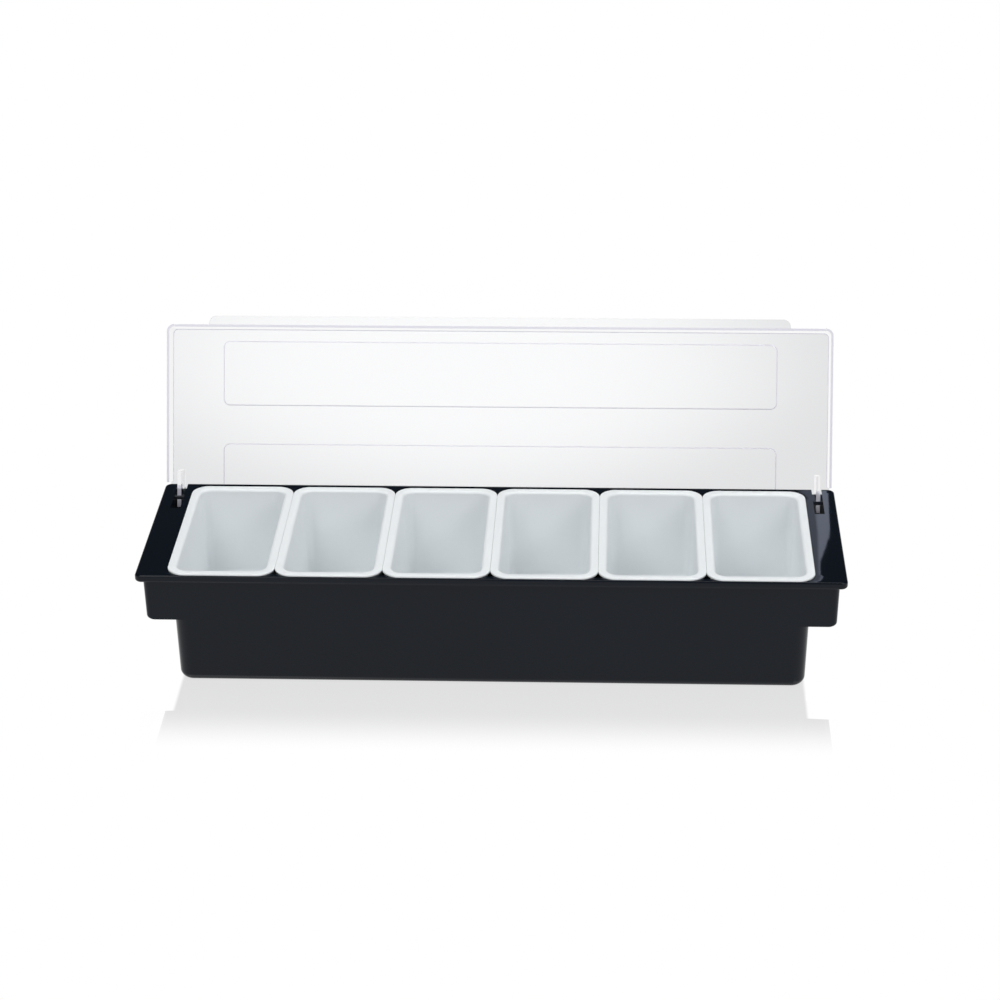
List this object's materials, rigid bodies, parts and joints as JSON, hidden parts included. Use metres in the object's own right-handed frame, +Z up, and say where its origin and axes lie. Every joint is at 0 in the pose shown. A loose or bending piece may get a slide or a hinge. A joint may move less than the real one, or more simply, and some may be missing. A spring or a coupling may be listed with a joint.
{
  "type": "condiment caddy",
  "caption": "Long black caddy with a flanged rim, end grips, white lift-out inserts in a row and one clear domed lid on snap hinges.",
  "frame": {"origin": "centre of the footprint, on the counter under the base", "axes": "+X along the caddy to the viewer's right, -Y to the front, +Z up"},
  "size_m": [0.5, 0.2034, 0.2085],
  "materials": {
    "black_plastic": "satin gloss, moulded",
    "white_plastic": "satin gloss, moulded",
    "clear_plastic": "clear, polished"
  },
  "bodies": {
    "base": {"base_tray": "black_plastic"},
    "insert_1_body": {"insert_1": "white_plastic"},
    "insert_2_body": {"insert_2": "white_plastic"},
    "insert_3_body": {"insert_3": "white_plastic"},
    "insert_4_body": {"insert_4": "white_plastic"},
    "insert_5_body": {"insert_5": "white_plastic"},
    "insert_6_body": {"insert_6": "white_plastic"},
    "lid_body": {"lid": "clear_plastic"}
  },
  "joints": [
    {"name": "lid_hinge", "type": "hinge", "parent": "base", "child": "lid_body", "pos_m": [0, 0.0575, 0.0847], "axis": [-1, 0, 0], "range_deg": [-112, 0]},
    {"name": "insert_1_lift", "type": "slide", "parent": "base", "child": "insert_1_body", "axis": [0, 0, 1], "range_m": [0, 0.11]},
    {"name": "insert_2_lift", "type": "slide", "parent": "base", "child": "insert_2_body", "axis": [0, 0, 1], "range_m": [0, 0.11]},
    {"name": "insert_3_lift", "type": "slide", "parent": "base", "child": "insert_3_body", "axis": [0, 0, 1], "range_m": [0, 0.11]},
    {"name": "insert_4_lift", "type": "slide", "parent": "base", "child": "insert_4_body", "axis": [0, 0, 1], "range_m": [0, 0.11]},
    {"name": "insert_5_lift", "type": "slide", "parent": "base", "child": "insert_5_body", "axis": [0, 0, 1], "range_m": [0, 0.11]},
    {"name": "insert_6_lift", "type": "slide", "parent": "base", "child": "insert_6_body", "axis": [0, 0, 1], "range_m": [0, 0.11]}
  ]
}
